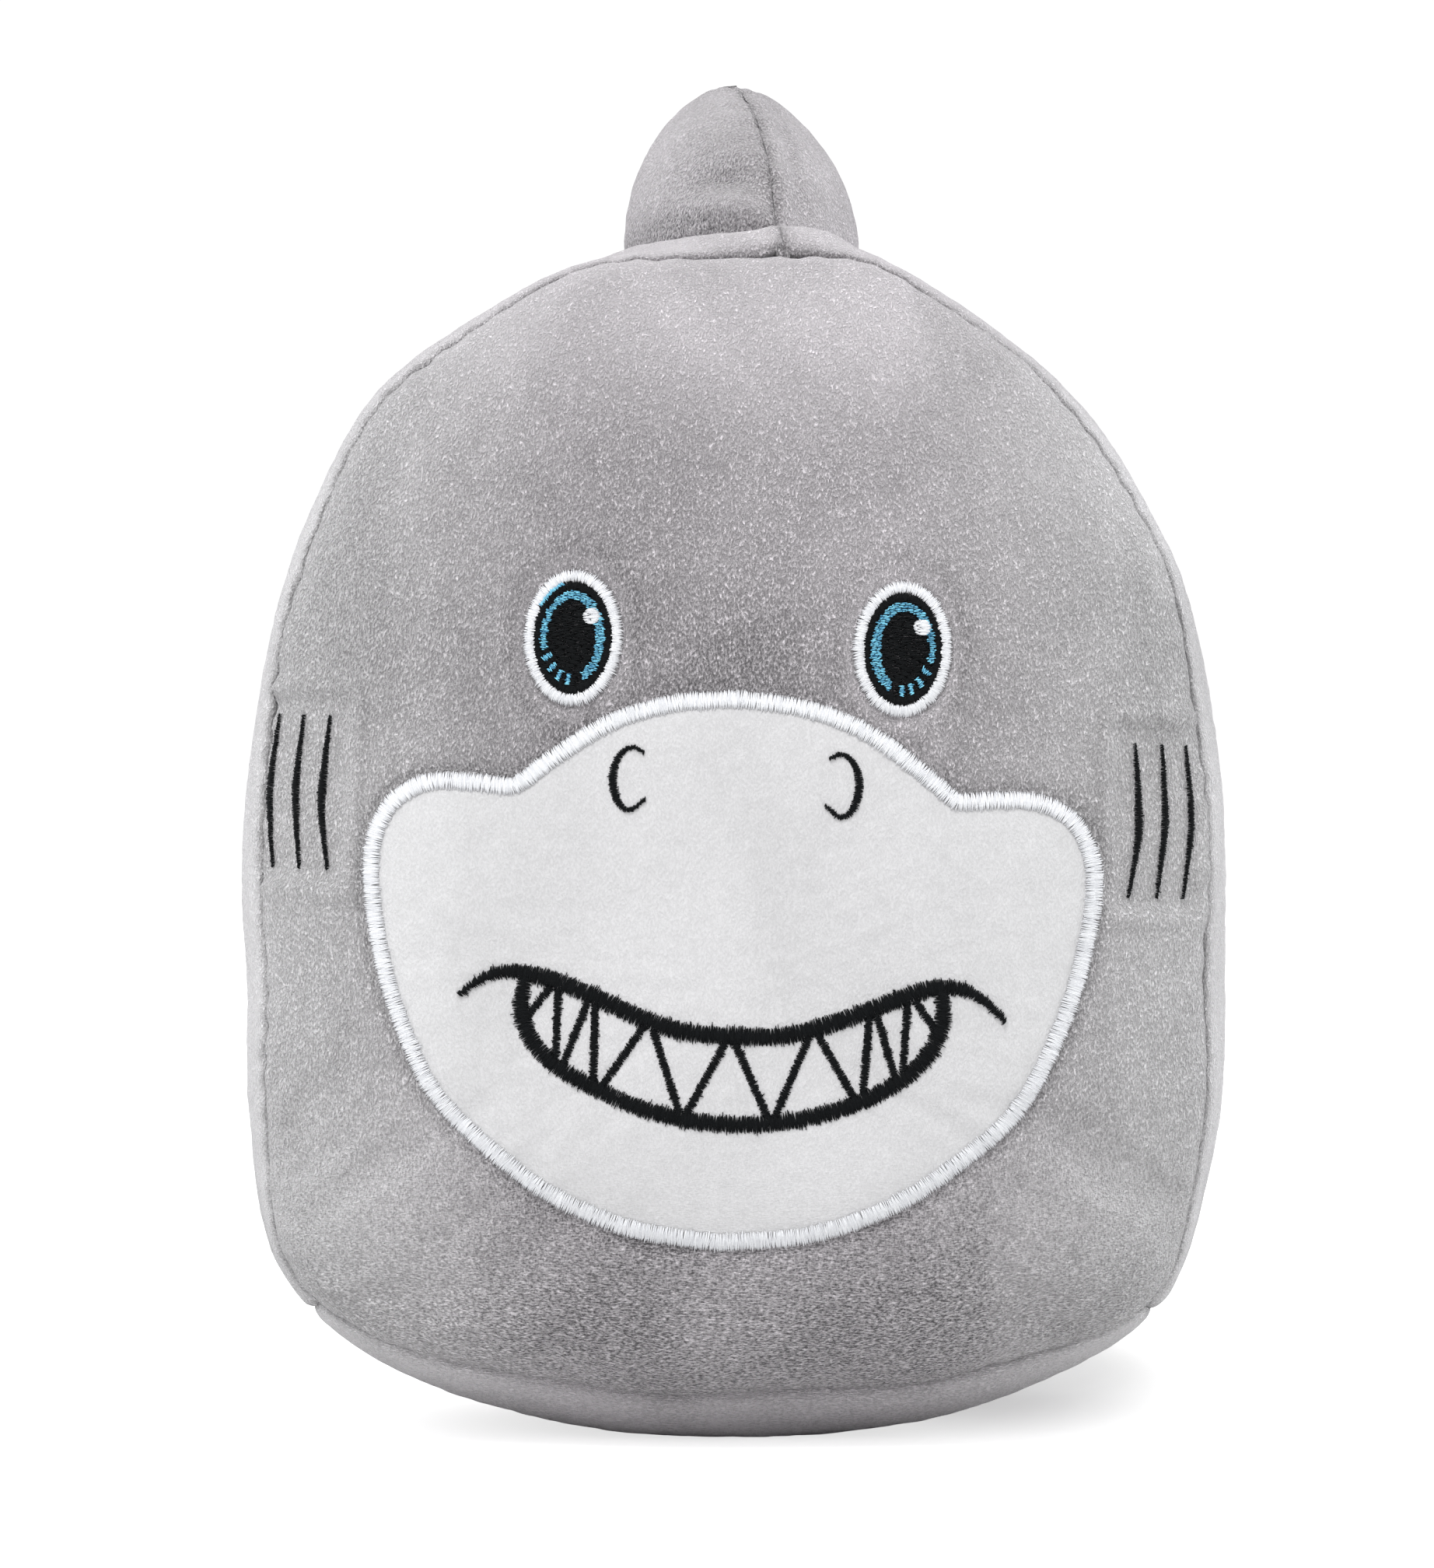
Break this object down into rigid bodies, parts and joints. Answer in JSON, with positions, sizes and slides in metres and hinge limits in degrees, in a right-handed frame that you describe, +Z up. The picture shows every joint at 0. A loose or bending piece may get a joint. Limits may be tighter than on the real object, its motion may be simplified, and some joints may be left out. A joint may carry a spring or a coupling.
{
  "type": "plush shark head pillow",
  "caption": "Boxed plush shark head with crowned face and back panels, gusset, appliqued muzzle, embroidered features and a stuffed dorsal fin.",
  "frame": {"origin": "middle of the overall box on the resting face, at the bottom", "axes": "+Z up through the head towards the fin, -Y out of the face, +X to the right as the face is seen"},
  "size_m": [0.221, 0.1484, 0.3044],
  "materials": {
    "plush_grey": "short-pile grey micro plush with a soft sheen",
    "plush_white": "short-pile white micro plush",
    "thread_white": "white satin-stitch embroidery thread",
    "thread_black": "black satin-stitch embroidery thread",
    "thread_blue": "blue embroidery thread",
    "backing": "non-woven embroidery stabiliser",
    "fibre": "loose polyester fibre filling"
  },
  "bodies": {
    "body": {"face_panel": "plush_grey", "back_panel": "plush_grey", "gusset_left": "plush_grey", "gusset_right": "plush_grey", "base_panel": "plush_grey", "body_filling": "fibre", "muzzle_patch": "plush_white", "muzzle_border": "thread_white", "mouth_line_upper": "thread_black", "mouth_line_lower": "thread_black", "tooth_lines": "thread_black", "nostril_left": "thread_black", "nostril_right": "thread_black", "gill_lines_left": "thread_black", "gill_lines_right": "thread_black", "eye_ring_left": "thread_white", "eye_ring_right": "thread_white", "eye_black_left": "thread_black", "eye_black_right": "thread_black", "iris_left": "thread_blue", "iris_right": "thread_blue", "eye_glint_left": "thread_white", "eye_glint_right": "thread_white", "face_backing": "backing", "gill_backing_left": "backing", "gill_backing_right": "backing"},
    "fin": {"fin_panel_left": "plush_grey", "fin_panel_right": "plush_grey", "fin_filling": "fibre"}
  },
  "joints": [
    {"name": "fin_sway", "type": "hinge", "parent": "body", "child": "fin", "pos_m": [0.002, 0.0061, 0.267], "axis": [-0.1908, 0.9816, 0], "range_deg": [-20, 20], "stiffness_Nm_per_rad": 0.03}
  ]
}
